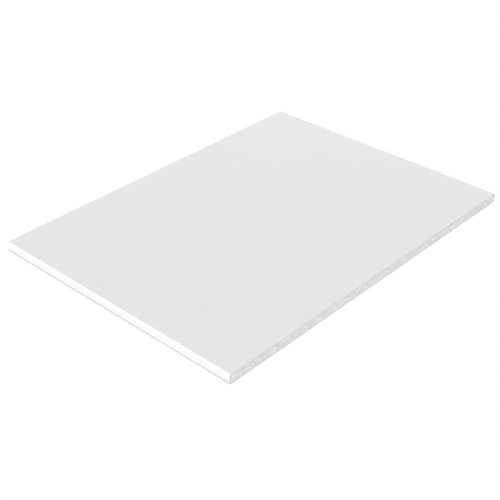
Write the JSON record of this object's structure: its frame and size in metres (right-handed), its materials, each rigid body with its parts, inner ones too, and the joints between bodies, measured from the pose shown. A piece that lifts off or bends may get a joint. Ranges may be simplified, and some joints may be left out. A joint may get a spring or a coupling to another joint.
{
  "type": "soffit board",
  "caption": "Flat white cellular PVC soffit board, cut square, with rounded long arrises and a fine foamed core showing on its sawn ends.",
  "frame": {"origin": "centre of the back, at the bottom centre of the board's box", "axes": "+X across the board's width, +Y along the extrusion from one sawn end to the other, +Z from the back to the finished face"},
  "size_m": [0.35, 0.258, 0.009],
  "materials": {
    "white_pvc": "white cellular PVC: a smooth satin-gloss skin, and sawn ends with a matt, finely foamed core"
  },
  "bodies": {
    "root": {"board": "white_pvc"}
  },
  "joints": []
}
